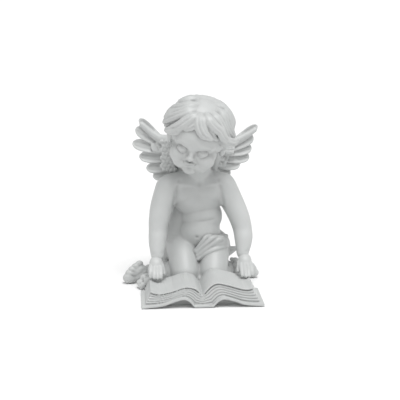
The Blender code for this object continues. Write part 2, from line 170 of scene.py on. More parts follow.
def mesh_of(name, skins):
    """One mesh of many skins: each grid gives quads between neighbours, closed round its columns."""
    places, quads, start = [], [], 0
    for skin in skins:
        rows, columns = skin.shape[:2]
        number = start + np.arange(rows * columns).reshape(rows, columns)
        following = np.roll(number, -1, axis=1)
        corners = (number[:-1], following[:-1], following[1:], number[1:])
        quads.append(np.stack(corners, axis=-1).reshape(-1, 4))
        places.append(skin.reshape(-1, 3))
        start += rows * columns
    return filled(name, np.vstack(places), np.vstack(quads))


def filled(name, places, faces):
    """A mesh with these places and faces of equal corner count."""
    mesh = bpy.data.meshes.new(name)
    corners = faces.shape[1]
    mesh.vertices.add(len(places))
    mesh.vertices.foreach_set("co", np.ascontiguousarray(places, np.float32).ravel())
    mesh.loops.add(faces.size)
    mesh.loops.foreach_set("vertex_index", np.ascontiguousarray(faces, np.int32).ravel())
    mesh.polygons.add(len(faces))
    mesh.polygons.foreach_set("loop_start", np.arange(0, faces.size, corners, dtype=np.int32))
    mesh.update(calc_edges=True)
    return mesh


def worked(mesh, *modifiers):
    """The mesh after these modifiers, each a name, a kind and its values."""
    obj = bpy.data.objects.new(mesh.name, mesh)
    bpy.context.scene.collection.objects.link(obj)
    for name, kind, values in modifiers:
        modifier = obj.modifiers.new(name, kind)
        for key, value in values.items():
            setattr(modifier, key, value)
    bpy.context.view_layer.update()
    graph = bpy.context.evaluated_depsgraph_get()
    result = bpy.data.meshes.new_from_object(obj.evaluated_get(graph))
    bpy.data.objects.remove(obj)
    bpy.data.meshes.remove(mesh)
    return result


def closed(mesh, voxel, passes):
    """Overlapping forms as one closed surface, softened by a number of smoothing passes."""
    return worked(
        mesh,
        ("Fuse", "REMESH", {"mode": "VOXEL", "voxel_size": voxel}),
        ("Soften", "SMOOTH", {"factor": 0.5, "iterations": passes}),
    )


def fused(name, skins, voxel, passes):
    """Skins joined into one closed and softened surface."""
    return closed(mesh_of(name, skins), voxel, passes)


def read(mesh, what):
    """Three numbers of every vertex: "co" reads its place and "normal" its normal."""
    values = np.empty(len(mesh.vertices) * 3, np.float32)
    mesh.vertices.foreach_get(what, values)
    return values.reshape(-1, 3).astype(float)


def write_places(mesh, places):
    """New places for all vertices of a mesh."""
    mesh.vertices.foreach_set("co", places.astype(np.float32).ravel())
    mesh.update()


def carved(mesh, creases):
    """Creases pressed in along curves.

    Each place moves inwards by depth times exp(-(distance / width) squared). A crease is its curve's
    points, its width and its depth; a negative depth raises a ridge.
    """
    places, normals = read(mesh, "co"), read(mesh, "normal")
    press = np.zeros(len(places))
    for points, width, depth in creases:
        curve = through(np.array(points, float), 6) if len(points) > 1 else np.array(points, float)
        low, high = curve.min(axis=0) - 3 * width, curve.max(axis=0) + 3 * width
        near = np.flatnonzero(np.all((places > low) & (places < high), axis=1))
        starts = curve[:-1] if len(curve) > 1 else curve
        spans = np.diff(curve, axis=0) if len(curve) > 1 else np.zeros_like(curve)
        offset = places[near][:, None] - starts[None]
        share = np.sum(offset * spans, axis=-1) / np.maximum(np.sum(spans**2, axis=-1), 1e-9)
        gap = offset - np.clip(share, 0.0, 1.0)[..., None] * spans
        distance = np.linalg.norm(gap, axis=-1).min(axis=1)
        press[near] += depth * np.exp(-((distance / width) ** 2))
    write_places(mesh, places - normals * press[:, None])
    return mesh


# Trunk and limbs. Right and left are the child's own; its right is on the viewer's left.
RIGHT_ARM = (
    (-23.5, 4, 76, 10.2),
    (-28.5, 0, 63, 9.2),
    (-31, -4, 53, 8.2),
    (-32, -7.5, 45, 7.4),
    (-32.6, -11.5, 37, 7.0),
    (-33, -17, 28, 5.2),
)
LEFT_ARM = (
    (19.5, 4, 76.5, 10.0),
    (26.5, 0, 63.5, 8.8),
    (30.5, -4, 54.5, 8.2),
    (33, -7.5, 45.5, 7.5),
    (33.4, -11.5, 38, 7.0),
    (32.2, -17, 29, 4.9),
)


def flesh():
    """Trunk with its flank, neck, arms, thighs and shins: ellipsoids and round forms that overlap."""
    return [
        ball((-1.0, 18.0, 17.0), (25.0, 17.0, 19.0)),
        ball((-1.0, 13.0, 30.0), (23.5, 15.0, 17.0)),
        ball((1.5, 6.0, 41.0), (15.5, 14.5, 14.5)),
        ball((3.0, 7.5, 53.0), (15.8, 12.8, 15.0)),
        ball((-1.0, 6.0, 68.0), (20.0, 12.5, 14.5)),
        ball((-1.0, 12.0, 72.0), (19.0, 9.0, 13.0)),
        ball((-11.0, 16.5, 49.0), (15.5, 11.0, 18.0)),
        ball((-15.0, 17.0, 37.0), (15.0, 12.0, 15.0)),
        ball((-14.0, 19.0, 25.0), (16.0, 13.0, 14.0)),
        ball((-13.2, 16.9, 43.0), (14.9, 11.4, 13.0)),
        ball((-14.6, 18.2, 31.0), (15.3, 12.5, 12.0)),
        limb([(-22, 5, 77, 10.0), (-1, 5, 80, 10.5), (19, 5, 77.5, 10.0)]),
        limb([(-13, 4.6, 73, 10.6), (-1, 4.4, 74, 11.0), (11, 4.6, 73.5, 10.6)]),
        limb([(0, 5, 84, 10.3), (0, -0.5, 98, 9.0)]),
        limb(RIGHT_ARM),
        limb(LEFT_ARM),
        limb([(-12.5, 13, 27, 14.0), (-12.5, 0, 24, 12.0), (-11.6, -12.5, 12.0, 10.7)]),
        limb([(12.0, 13, 27, 14.0), (11.4, 0, 24, 12.0), (10.2, -12.5, 12.0, 10.9)]),
        ball((-0.8, -14.5, 5.0), (6.0, 6.0, 6.5)),
        ball((-26.0, 14.0, 17.0), (5.5, 9.0, 10.0)),
        limb([(-13, -9, 9, 9.0), (-26, 3, 8.5, 9.0), (-38, 8, 8, 6.0)]),
        limb([(13, -9, 9, 9.0), (23, 9, 8.0, 7.4), (33, 13, 7.5, 6.0)]),
    ]


FLESH_CREASES = [
    # Under the breast and across the belly.
    ([(-19, -1, 63), (-12, -6, 60.5), (0, -7, 59.6), (10, -6, 60.2), (18, -1, 62)], 1.3, 1.3),
    ([(-10, -4, 52.5), (0, -6, 51.6), (12, -4, 52.6)], 1.2, 0.8),
    # Navel, with the soft rise round it.
    ([(-2.3, -8.2, 39.5)], 1.3, 1.1),
    ([(-2.3, -8.0, 42.0)], 2.2, -0.4),
    # Collar bones and the hollow between them.
    ([(-17, -4, 81), (-8, -6, 80), (-2, -7, 78.5)], 1.6, -0.6),
    ([(16, -4, 81), (7, -6, 80), (2, -7, 78.5)], 1.6, -0.6),
    ([(0, -7, 81)], 2.4, 0.9),
    # Breast bone and the soft chest each side of it.
    ([(-0.5, -7.5, 76), (-0.5, -7.5, 64)], 2.4, 0.5),
    # Inside of the elbows and the rolls over the wrists.
    ([(-38, -12, 47), (-32, -14.5, 46.5), (-25, -11, 47.5)], 3.0, 0.3),
    ([(40, -12, 46.5), (33, -14.5, 46), (26, -11, 47)], 3.0, 0.3),
    ([(-39, -19, 30), (-33, -23, 30.5), (-27, -19, 30.5)], 1.2, 0.6),
    ([(37.5, -19, 31), (32, -23, 31.5), (26.5, -19, 31.5)], 1.2, 0.6),
    # Where the arms meet the chest.
    ([(-16, -5, 84), (-18, -5, 74), (-19.5, -4, 62)], 1.8, 1.1),
    ([(15, -5, 84), (17, -5, 74), (18.5, -4, 62)], 1.8, 1.1),
    # Furrow of the back.
    ([(-1, 22, 84), (-1, 22, 68), (-2, 24, 52)], 2.4, 1.2),
]


# Length of each finger as a share of the longest, from the thumb's side out.
FINGER_LENGTHS = (0.88, 1.0, 0.90, 0.70)


def hand(wrist, lean, reach):
    """Chubby hand on the page: palm, four fingers fanned forward and the thumb on its inner side.

    lean is -1 for the right hand and 1 for the left. A finger's tip lies 3.6 and its share of reach
    before the middle of the palm.
    """
    palm = np.array(wrist) + (lean * 1.2, -4.5, -5.0)
    skins = [ball(palm, (5.2, 6.3, 4.2), turn(x=42))]
    for finger, share in enumerate(FINGER_LENGTHS):
        spread = lean * (finger - 1.3)
        root = palm + (spread * 2.2, -2.2, -1.2)
        knuckle = palm + (spread * 2.5, -5.8, -3.0)
        middle = palm + (spread * 2.6, -4.6 - reach * share * 0.62, -5.4)
        tip = palm + (spread * 2.6, -3.6 - reach * share, -8.0)
        skins.append(limb([(*root, 1.9), (*knuckle, 1.9), (*middle, 1.65), (*tip, 1.3)], columns=20))
    root = palm + (-lean * 4.0, -0.5, -1.0)
    tip = palm + (-lean * 5.8, -7.0, -6.4)
    skins.append(limb([(*root, 2.1), (*(0.5 * (root + tip)), 1.9), (*tip, 1.4)], columns=20))
    return skins


def foot(ankle, point, reach, height):
    """Foot lying on its inner edge, instep to the front, with five toes up its far end.

    By its share of the way up, a toe is smaller by the share's root and stands nearer the ankle by the
    share's power of 1.6.
    """
    ankle, along = np.array(ankle), unit(np.array(point))
    middle = ankle + along * (reach * 0.50)
    skins = [
        ball((ankle[0], ankle[1] + 1.0, 7.0), (6.5, 6.5, 7.0)),
        ball((middle[0], middle[1], height * 0.45), (reach * 0.44, height * 0.30, height * 0.45)),
    ]
    for share in np.linspace(0.0, 1.0, 5):
        size = height * (0.26 - 0.11 * share**0.5)
        place = ankle + along * (reach * (1.0 - 0.48 * share**1.6))
        level = height * (0.28 + 0.66 * share**0.8)
        skins.append(ball((place[0], place[1], level), (size * 1.25, size, size)))
    return skins


# Head, in a frame of its own: x to the child's left, y back from the face, z up.
HEAD_CENTRE = np.array((-1.5, -9.0, 116.8))
HEAD_TURN = turn(x=16.0, y=14.0, z=-12.0)
HAIR_CENTRE = np.array((0.0, 4.0, 6.5))
HAIR_RADII = np.array((23.0, 22.5, 22.0))


def placed(skins):
    """Skins or places of the head's own frame, turned with the head and moved to its centre."""
    return [skin @ HEAD_TURN.T + HEAD_CENTRE for skin in skins]


BROW = ((13.5, -15.6, 1.8, 1.3), (8.5, -19.2, 3.6, 1.4), (4.0, -20.6, 3.2, 1.2))
LID_EDGE = ((3.8, -17.6, -3.4, 0.4), (7.6, -19.1, -5.3, 0.6), (11.8, -16.6, -3.4, 0.4))
UPPER_LIP = (
    (-3.9, -19.2, -12.6, 0.5),
    (-1.4, -20.3, -12.3, 0.9),
    (0, -20.4, -12.6, 0.8),
    (1.4, -20.3, -12.3, 0.9),
    (3.9, -19.2, -12.6, 0.5),
)
LOWER_LIP = ((-3.1, -19.3, -13.8, 0.6), (0, -20.1, -14.6, 1.2), (3.1, -19.3, -13.8, 0.6))


def mirrored(points, side):
    """Points with x times side, which is -1 or 1."""
    return [(side * point[0], *point[1:]) for point in points]


def face():
    """Skull and the masses of a calm young child's face: round brow, full cheeks, small nose, chin."""
    skins = [
        ball((0, 3.0, 5.0), (21.0, 22.0, 20.5)),
        ball((0, -6.5, 4.0), (17.5, 15.5, 15.0)),
        ball((0, -6.6, -7.6), (17.4, 13.2, 14.6)),
        ball((0, -14.2, -19.4), (5.4, 5.0, 4.4)),
        ball((0, -14.4, -13.4), (10.8, 5.0, 6.2)),
        ball((0, -22.0, -7.7), (2.5, 2.3, 2.1)),
        limb([(0, -18.2, 0.5, 2.3), (0, -19.4, -3.6, 1.9), (0, -20.9, -6.8, 1.9)]),
    ]
    for side in (-1, 1):
        skins += [
            ball((side * 9.8, -12.6, -9.8), (7.6, 6.6, 7.4)),
            ball((side * 7.0, -11.4, -15.6), (7.4, 6.6, 6.0)),
            ball((side * 2.5, -20.4, -8.4), (1.5, 1.6, 1.3)),
            ball((side * 20.0, 1.0, -5.0), (2.6, 3.8, 5.4)),
            limb(mirrored(BROW, side)),
        ]
    return skins


def lips_and_lids():
    """Lids as low domes with a rolled edge, and the lips as two soft rolls, over the smoothed face."""
    skins = [limb(UPPER_LIP), limb(LOWER_LIP)]
    for side in (-1, 1):
        skins += [ball((side * 7.6, -16.2, -3.2), (4.2, 3.2, 2.9)), limb(mirrored(LID_EDGE, side))]
    return skins


def face_creases():
    """Hollows of the face: sockets, parting and corners of the lips, fold over the chin, nostrils."""
    creases = [
        ([(-4.2, -19.0, -12.9), (0, -20.0, -13.5), (4.2, -19.0, -12.9)], 0.6, 0.45),
        ([(0, -18.6, -16.4)], 1.6, 0.7),
        ([(0, -20.4, -10.2), (0, -20.0, -11.6)], 0.8, 0.4),
    ]
    for side in (-1, 1):
        creases += [
            ([(side * 5.5, -18.8, -2.2), (side * 10.0, -17.8, -2.2)], 2.7, 1.7),
            ([(side * 3.8, -19.2, -2.4)], 1.4, 0.5),
            ([(side * 4.8, -18.9, -12.7)], 1.0, 0.55),
            ([(side * 1.1, -22.0, -9.5)], 0.6, 0.8),
            ([(side * 4.2, -19.4, -8.6), (side * 6.4, -18.8, -12.0)], 1.2, 0.35),
        ]
    return [(placed(np.array(points)), width, depth) for points, width, depth in creases]


# Each lock by azimuth and elevation over the scalp in degrees, its share of the scalp's radii and its
# half width.
FRONT_LOCKS = (
    # Crown to the child's right: three tufts that step down the outline.
    ((-138, 70, 1.00, 3.4), (-103, 63, 1.06, 4.6), (-92, 52, 1.11, 4.4), (-93, 42, 1.17, 2.4)),
    (
        (-57, 78, 1.00, 3.4), (-52, 57, 1.05, 4.8), (-64, 41, 1.08, 4.8),
        (-86, 26, 1.13, 3.8), (-90, 19, 1.20, 2.2),
    ),
    (
        (-24, 68, 0.99, 3.2), (-40, 47, 1.04, 4.4), (-56, 30, 1.08, 4.6),
        (-75, 10, 1.14, 4.4), (-79, 0, 1.23, 2.4),
    ),
    ((-56, 34, 1.02, 3.0), (-70, 22, 1.10, 3.8), (-84, 10, 1.17, 3.4), (-90, 4, 1.25, 2.0)),
    ((-60, 30, 1.04, 2.6), (-76, 20, 1.12, 3.2), (-88, 14, 1.19, 2.8), (-92, 11, 1.24, 1.8)),
    # From the parting along the brow towards the child's right ear.
    (
        (-4, 56, 1.00, 2.6), (-15, 42, 1.07, 3.8), (-25, 29, 1.10, 4.2),
        (-35, 15, 1.11, 4.0), (-53, 3, 1.10, 2.2),
    ),
    ((-3, 47, 1.02, 2.0), (-3, 34, 1.07, 2.8), (-10, 24, 1.09, 2.8), (-22, 15, 1.09, 1.6)),
    ((-24, 18, 1.02, 2.4), (-37, 6, 1.08, 3.4), (-55, -4, 1.10, 3.4), (-72, -12, 1.18, 2.0)),
    # Fringe over the forehead.
    (
        (1, 58, 0.99, 2.6), (1, 42, 1.08, 4.2), (6, 28, 1.12, 4.6),
        (14, 17, 1.13, 4.0), (29, 9, 1.13, 1.8),
    ),
    (
        (9, 56, 0.98, 2.6), (13, 40, 1.03, 3.6), (21, 26, 1.05, 3.8),
        (31, 15, 1.06, 3.2), (42, 7, 1.07, 1.6),
    ),
    # Waves over the temple to the child's left ear.
    (
        (15, 62, 0.99, 2.6), (21, 44, 1.11, 3.8), (31, 32, 1.17, 3.8),
        (42, 23, 1.20, 3.6), (49, 12, 1.21, 3.4), (62, 3, 1.21, 1.8),
    ),
    (
        (42, 67, 0.98, 3.0), (45, 47, 1.05, 4.0), (51, 31, 1.10, 4.0),
        (56, 17, 1.12, 3.6), (68, 3, 1.14, 2.0),
    ),
    (
        (86, 68, 1.00, 3.2), (73, 50, 1.08, 4.4), (69, 32, 1.08, 4.2),
        (75, 17, 1.10, 3.8), (86, 4, 1.16, 2.2),
    ),
    (
        (129, 62, 0.97, 3.4), (112, 45, 1.02, 4.6), (99, 29, 1.02, 4.2),
        (95, 15, 1.03, 3.6), (100, 2, 1.10, 2.2),
    ),
    # Curls that turn out over the wing and before the ear.
    ((48, 12, 1.10, 2.8), (60, 3, 1.17, 3.8), (72, -1, 1.25, 3.6), (80, 3, 1.34, 2.0)),
    ((50, 2, 1.08, 2.6), (62, -5, 1.14, 3.2), (74, -9, 1.20, 2.8), (82, -6, 1.27, 1.6)),
    ((-66, -8, 1.02, 2.2), (-66, -20, 1.06, 3.0), (-74, -31, 1.10, 2.6), (-84, -26, 1.15, 1.4)),
)
BACK_LOCKS = 11
NAPE_LOCKS = 6
# The strand that closes the gap between the tufts at the child's right temple.
TEMPLE_STRAND = ((-13.0, -13.0, 131.5, 2.4), (-19.5, -9.5, 128.6, 2.8), (-25.2, -5.0, 126.2, 1.9))
# Thickness of a lock as a share of its width, depth of the grooves between strands and half width of
# a strand.
LOCK_THICKNESS = 0.72
STRAND_DEPTH = 1.15
STRAND_WIDTH = 1.5


def direction(azimuth, elevation):
    """Unit vectors by azimuth from the front towards +x and by elevation, in radians."""
    level = np.cos(elevation)
    return np.stack((np.sin(azimuth) * level, -np.cos(azimuth) * level, np.sin(elevation)), axis=-1)


def scalp(points):
    """Places over the hair's ellipsoid: its centre plus direction times its radii times their share."""
    way = direction(np.radians(points[:, 0]), np.radians(points[:, 1]))
    return HAIR_CENTRE + way * HAIR_RADII * points[:, 2:3]


def strands(count, depth, phase):
    """Relief of strands: grooves by a cosine across the lock, whose phase drifts along it.

    They grow in from the crown, and at the lock's rims they are half as deep.
    """

    def relief(across, along):
        comb = np.cos(np.pi * (count * across + phase + 0.7 * along))
        rise = np.clip(3.0 * along - 0.3, 0.0, 1.0)
        return -depth * rise * (0.5 + 0.5 * comb) * (1.0 - 0.5 * across**2)

    return relief


def lock(points, number):
    """One lock combed over the scalp, about three quarters as thick as it is wide.

    Its root is sunk a little and narrower, and its number shifts the strands' phase.
    """
    points = np.array(points, float)
    points[0] = points[0] * (1.0, 1.0, 0.95, 0.6)
    half_width = points[:, 3]
    rows = np.column_stack((scalp(points - (0, 0, 0.015, 0)), half_width, LOCK_THICKNESS * half_width))
    relief = strands(np.round(half_width.max() / STRAND_WIDTH), STRAND_DEPTH, 0.37 * number)
    return blade(rows, lambda place: unit(place - HAIR_CENTRE), relief, columns=72, steps=10)


def hair():
    """The hair's mass, the combed locks before and over it, and two rows of waves down the back.

    A wave of the back swings to and fro by turns and ends in a curl, at uneven heights.
    """
    skins = [
        ball(HAIR_CENTRE, HAIR_RADII * 1.01, rows=40, columns=64),
        ball((0, 10, -8), (17.5, 13.5, 13)),
    ]
    for number, points in enumerate(FRONT_LOCKS):
        skins.append(lock(points, number))
    for number, azimuth in enumerate(np.linspace(118, 252, BACK_LOCKS)):
        swing = 7.0 if number % 2 else 4.0
        points = (
            (azimuth, 80, 0.97, 3.4),
            (azimuth + swing, 52, 1.03, 4.8),
            (azimuth - swing, 24, 1.06, 5.0),
            (azimuth + swing, 0, 1.07, 4.6),
            (azimuth - 2, -22, 1.06 + 0.02 * (number % 3), 3.8),
            (azimuth + 9, -38 - 5 * (number % 2), 1.14, 1.8),
        )
        skins.append(lock(points, number))
    for number, azimuth in enumerate(np.linspace(134, 230, NAPE_LOCKS)):
        points = (
            (azimuth, -22, 0.96, 2.6),
            (azimuth - 5, -38, 0.98, 4.0),
            (azimuth + 7, -54, 1.02, 3.2),
            (azimuth + 12, -62, 1.12, 1.6),
        )
        skins.append(lock(points, number + 3))
    return placed(skins) + [limb(TEMPLE_STRAND)]


# Wings: the leading edge from the shoulder blade to the tip, and the root and tip of each long feather.
RIGHT_EDGE = (
    (-8, 14, 74, 5.5),
    (-12, 18, 95, 5.0),
    (-20, 20.3, 108.6, 5.2),
    (-31, 23, 112.7, 3.2),
    (-43, 26, 122.5, 2.0),
)
RIGHT_FEATHERS = (
    ((-22, 22, 104.5), (-44.5, 26.5, 126.6)),
    ((-20, 21.5, 105), (-47.3, 26.5, 119.4)),
    ((-19, 21, 103), (-50.0, 26.0, 108.0)),
    ((-17, 20.5, 98), (-44.8, 25.5, 97.6)),
    ((-15, 20, 93), (-39.4, 24.0, 88.3)),
    ((-13, 19, 88), (-34.4, 22.0, 82.2)),
    ((-11, 18, 83), (-28.0, 20.5, 76.5)),
)
LEFT_EDGE = (
    (8, 14, 74, 5.5),
    (12, 18, 94, 5.0),
    (19, 20.5, 105, 4.2),
    (31, 24, 109.5, 2.8),
    (46, 27.5, 117.0, 1.8),
)
LEFT_FEATHERS = (
    ((22, 22.5, 103.5), (47.6, 28.5, 120.4)),
    ((20, 22, 103), (44.3, 28.0, 111.9)),
    ((19, 21.5, 101), (43.0, 27.5, 103.5)),
    ((17, 21, 97), (41.1, 27.0, 96.2)),
    ((15, 20, 92), (33.5, 24.5, 91.0)),
    ((13, 19, 87), (26.0, 22.5, 84.6)),
    ((11, 18, 82), (22.5, 20.5, 78.8)),
)
# Rows of short feathers over the long ones: share of their length, distance before or behind them and
# share of their width.
RIGHT_ROWS = ((0.50, 1.4, 0.86), (0.32, 2.4, 0.66), (0.17, 3.2, 0.55))
LEFT_ROWS = ((0.36, 1.6, 0.80), (0.18, 2.6, 0.60))
# Half widths of the first feather and of the others, the share of it that each next one loses, and the
# share that short ones keep.
FIRST_FEATHER = 3.7
LONG_FEATHER = 5.3
NARROWER = 0.045
SHORT_FEATHER = 0.96


def vane(across, along):
    """Relief of a feather: a ridge for the shaft and a raised rim on both vanes, each a bell curve."""
    shaft = 0.40 * np.exp(-((across / 0.12) ** 2))
    rim = 0.40 * np.exp(-(((np.abs(across) - 0.82) / 0.16) ** 2))
    return shaft + rim


def down(low, high, count):
    """Short down at the root of a wing: small balls longer than wide, four to a row.

    The rows rise from low to high, and every other one stands half a ball further out.
    """
    skins = []
    low, high = np.array(low, float), np.array(high, float)
    for row in range(count):
        share = row / (count - 1)
        for place in range(4):
            across = (place + 0.5 * (row % 2)) / 4
            centre = low + (high - low) * (across, 0.4 * across + 0.6 * share, share)
            lean = turn(x=18.0 * (-1) ** place, y=14.0 * np.sign(high[0]) * (-1) ** row)
            skins.append(ball(centre, (1.65, 1.5, 1.9), lean))
    return skins


def scoop(depth):
    """Both faces of a feather bend forward at its rims, by depth times (across squared - 0.35)."""
    return lambda across, along: depth * (across**2 - 0.35)


# Share of a feather's length, of its half width and of its half thickness, from root to rounded tip.
FEATHER_PROFILE = (
    (0.00, 0.62, 1.3),
    (0.30, 0.86, 1.2),
    (0.60, 1.00, 1.0),
    (0.82, 0.98, 0.95),
    (0.94, 0.76, 0.9),
    (1.00, 0.40, 0.8),
)


def feather(root, tip, spread, thin, bow, thickness, depth, relief=None):
    """One feather from root to tip, widest past its middle, rounded at the tip, bowed by half a sine."""
    rows = []
    for share, width, thick in FEATHER_PROFILE:
        arch = np.sin(np.pi * share)
        place = root + (tip - root) * share + (0.0, 0.8 * arch, bow * arch)
        rows.append((*place, spread * width, thickness * thick))
    return blade(rows, always(thin), relief, scoop(depth), square=0.6, columns=80, steps=12)


def wing(edge, feathers, side, rows):
    """Leading edge, long feathers that overlap like tiles, and shorter ones before and behind them.

    Every other short feather is longer than its row's share and the ones between are shorter.
    """
    shingled = unit(np.array((0.2 * side, -1.0, 0.34)))
    skins = [limb(edge)]
    for number, (root, tip) in enumerate(feathers):
        root, tip = np.array(root, float), np.array(tip, float)
        spread = LONG_FEATHER * (1.0 - NARROWER * number) if number else FIRST_FEATHER
        skins.append(feather(root, tip, spread, shingled, -0.8 - 0.2 * number, 0.95, 1.35, vane))
        for facing in (-1, 1):
            for share, lift, size in rows:
                stagger = 0.82 if number % 2 else 1.08
                start = root + (0, facing * lift, 1.6 * (stagger - 1.0))
                end = start + (tip - root) * share * stagger
                width = spread * size * SHORT_FEATHER
                skins.append(feather(start, end, width, shingled, -0.5, 1.1, 0.25))
    return skins


# Book: outlines across the spine, x and height, of the upper pages and of the cover's upper face. Its
# left and right are the viewer's.
BOOK_FRONT = -61.0
BOOK_BACK = -23.0
LEFT_PAGE = ((-39.1, 13.1), (-32.5, 11.2), (-23.0, 13.0), (-13.7, 15.8), (-6.0, 14.2), (-1.8, 8.8))
RIGHT_PAGE = ((-1.8, 8.8), (2.4, 15.2), (8.1, 18.6), (17.0, 17.0), (28.8, 13.7), (34.6, 14.9))
LEFT_COVER = ((-46.0, 2.3), (-31.0, 3.8), (-22.0, 6.9), (-15.3, 8.4), (-11.0, 6.4), (-7.6, 2.4))
RIGHT_COVER = ((6.2, 2.4), (9.8, 6.2), (14.4, 8.2), (21.5, 6.4), (30.0, 3.6), (43.6, 2.3))
COVER_THICKNESS = 2.0
HOLLOW_DEPTH = 6.0
PAGE_LEAVES = 11
# How far every other leaf stands back, and the line under the uppermost leaf, which stands out.
LEAF_STEP = 0.65
LINE_STEP = 1.3
LIP_STEP = -0.3
# Half width of the pages, by which a step back becomes a share.
HALF_PAGES = 40.0


def evenly(curve, count=97):
    """Points at equal steps of a curve's length."""
    reach = np.concatenate(((0.0,), np.cumsum(np.linalg.norm(np.diff(curve, axis=0), axis=1))))
    steps = np.linspace(0.0, 1.0, count) * reach[-1]
    return np.column_stack([np.interp(steps, reach, curve[:, axis]) for axis in (0, 1)])


def book():
    """Cover, closed ground behind its hollows, and the page block as leaves that step in and out.

    With N leaves, leaf number n lies between the curves (1 - n/N) cover + (n/N) page and the same for
    n + 1. A leaf that stands back does so at its front and, by the same share, at both sides.
    """
    pages = np.vstack((through(np.array(LEFT_PAGE))[:-1], through(np.array(RIGHT_PAGE))))
    cover = np.vstack((through(np.array(LEFT_COVER)), through(np.array(RIGHT_COVER))))
    top = evenly(pages)
    sunk = evenly(cover) * (0.955, 1.0) - (0.0, 0.6)
    skins = []
    for leaf in range(PAGE_LEAVES):
        low, high = leaf / PAGE_LEAVES, (leaf + 1) / PAGE_LEAVES
        inset = {PAGE_LEAVES - 1: LIP_STEP, PAGE_LEAVES - 2: LINE_STEP}.get(leaf, LEAF_STEP * (leaf % 2))
        lower = sunk + (top - sunk) * low
        upper = sunk + (top - sunk) * high
        narrow = np.array((1.0 - inset / HALF_PAGES, 1.0))
        skins.append(slab(upper * narrow, lower * narrow, BOOK_FRONT + inset, BOOK_BACK))
    under = cover - (0.0, COVER_THICKNESS)
    skins.append(slab(cover, under, BOOK_FRONT - 2.0, BOOK_BACK + 1.0))
    ground = np.column_stack((cover[:, 0] * 0.97, np.maximum(under[:, 1] + 0.6, -1.0)))
    base = np.column_stack((ground[:, 0], np.full(len(ground), -2.0)))
    skins.append(slab(ground, base, BOOK_FRONT + HOLLOW_DEPTH, BOOK_BACK + 1.0))
    return skins


# Cloth gathered at the child's left hip. Folds run from the lap up to the knot, each with the radius
# of its roll. Small crumpled heaps lie behind both ends of the book, each ball with its size.
LAP_FOLDS = (
    ((-2.5, -9.0, 31.0), (6.5, -8.5, 40.5), 1.2),
    ((-2.5, -9.5, 28.0), (11.5, -8.0, 39.5), 1.5),
    ((-2.0, -10.0, 25.5), (16.0, -6.5, 37.5), 1.7),
    ((-1.5, -10.5, 23.0), (18.5, -4.0, 34.5), 1.8),
)
LAP_HEM = (
    (-1.5, -9.5, 22.5, 1.6),
    (5, -11, 27.5, 1.9),
    (12, -10, 30.2, 2.1),
    (18, -5.5, 30.8, 2.2),
    (20.8, 2, 30.5, 2.2),
)
LAP_MASS = ((-2, -8.0, 28.5, 3.0), (8, -6.0, 33.5, 5.2), (15, -2.5, 33.6, 5.8), (18, 5, 33.5, 5.0))
KNOT_STRANDS = 5
TAIL = ((20.0, 5.5, 23.4, 5.0, 2.6), (24.6, 7.0, 24.6, 3.6, 1.9), (30.8, 8.0, 26.4, 1.4, 1.0))
FALL = ((17.5, 11), (18.5, 15), (19.0, 19.5), (17.5, 24))
# Height and radius of each roll round the back of the hips.
HIP_ROLLS = ((34, 2.2), (30.5, 2.6), (27, 2.4))
LEFT_SIDE_HEAP = (
    (29.5, 7, 16.6, 2.6),
    (26.6, 7.5, 17.2, 2.0),
    (31.8, 6, 13.0, 2.9),
    (28.6, 6, 13.0, 2.2),
    (30, 4, 9, 3.0),
    (33, 4, 6.5, 3.2),
    (29, 2, 4, 3.8),
    (35.5, 3, 3.6, 3.0),
    (26.5, 5, 5, 3.2),
)
RIGHT_SIDE_HEAP = (
    (-46, -9, 4.5, 3.2),
    (-44.5, -12.5, 3.2, 3.4),
    (-43.5, -8, 8.5, 2.8),
    (-40, -12, 6.5, 4.0),
    (-42, -5, 7.5, 3.6),
    (-38, -3, 7, 4.4),
)


def heap(balls, lean):
    """Small crumpled cloth: balls drawn long in x, each leaning the same way."""
    return [ball((x, y, z), (size, size * 0.9, size * 0.85), turn(y=lean)) for x, y, z, size in balls]


def cloth():
    """Cloth at the hip: a fan of folds, hem, knot, tail, the fall behind, rolls round the back, heaps.

    The knot's strands start from one place and spread by the sine and cosine of even angles.
    """
    skins = []
    for start, end, size in LAP_FOLDS:
        start, end = np.array(start), np.array(end)
        middle = 0.5 * (start + end) + (0, -1.6, 1.4)
        gathered = (20.5, 3, 34.5, size)
        skins.append(limb([(*start, size * 0.9), (*middle, size * 1.15), (*end, size * 1.2), gathered]))
    skins.append(limb(LAP_HEM))
    skins.append(limb(LAP_MASS))
    for number in range(KNOT_STRANDS):
        angle = np.radians(-60 + 40 * number)
        rise, reach = np.sin(angle), np.cos(angle)
        over = (20.8, 2 + 3 * reach, 33 + 4.4 * rise, 1.9)
        skins.append(limb([(18, 2, 34, 1.6), over, (22, 6, 32 + 4.6 * rise, 1.5)]))
    skins.append(ball((19.0, 5.0, 32.8), (4.8, 6.5, 5.6)))
    skins.append(blade(TAIL, always(np.array((0.0, -1.0, 0.2)))))
    skins.append(limb([(20, 5, 27, 1.6), (25, 6, 27.0, 1.4), (30.8, 7.5, 27.0, 0.9)]))
    for x, y in FALL:
        skins.append(limb([(x, y, 31, 3.2), (x + 0.6, y + 1.0, 18, 3.6), (x + 3.0, y + 1.0, 5, 4.2)]))
    skins.append(limb([(20.6, 11, 27, 2.4), (20.8, 12, 19, 2.7), (22, 11, 11, 3.0)]))
    for level, size in HIP_ROLLS:
        far = [(-22.5, 13, level - 1, size), (-16, 26, level - 3, size), (-1, 31.5, level - 5, size)]
        skins.append(limb(far + [(13, 26.5, level - 3, size), (19.5, 13, level, size)]))
    return skins + heap(LEFT_SIDE_HEAP, 20.0) + heap(RIGHT_SIDE_HEAP, -20.0)


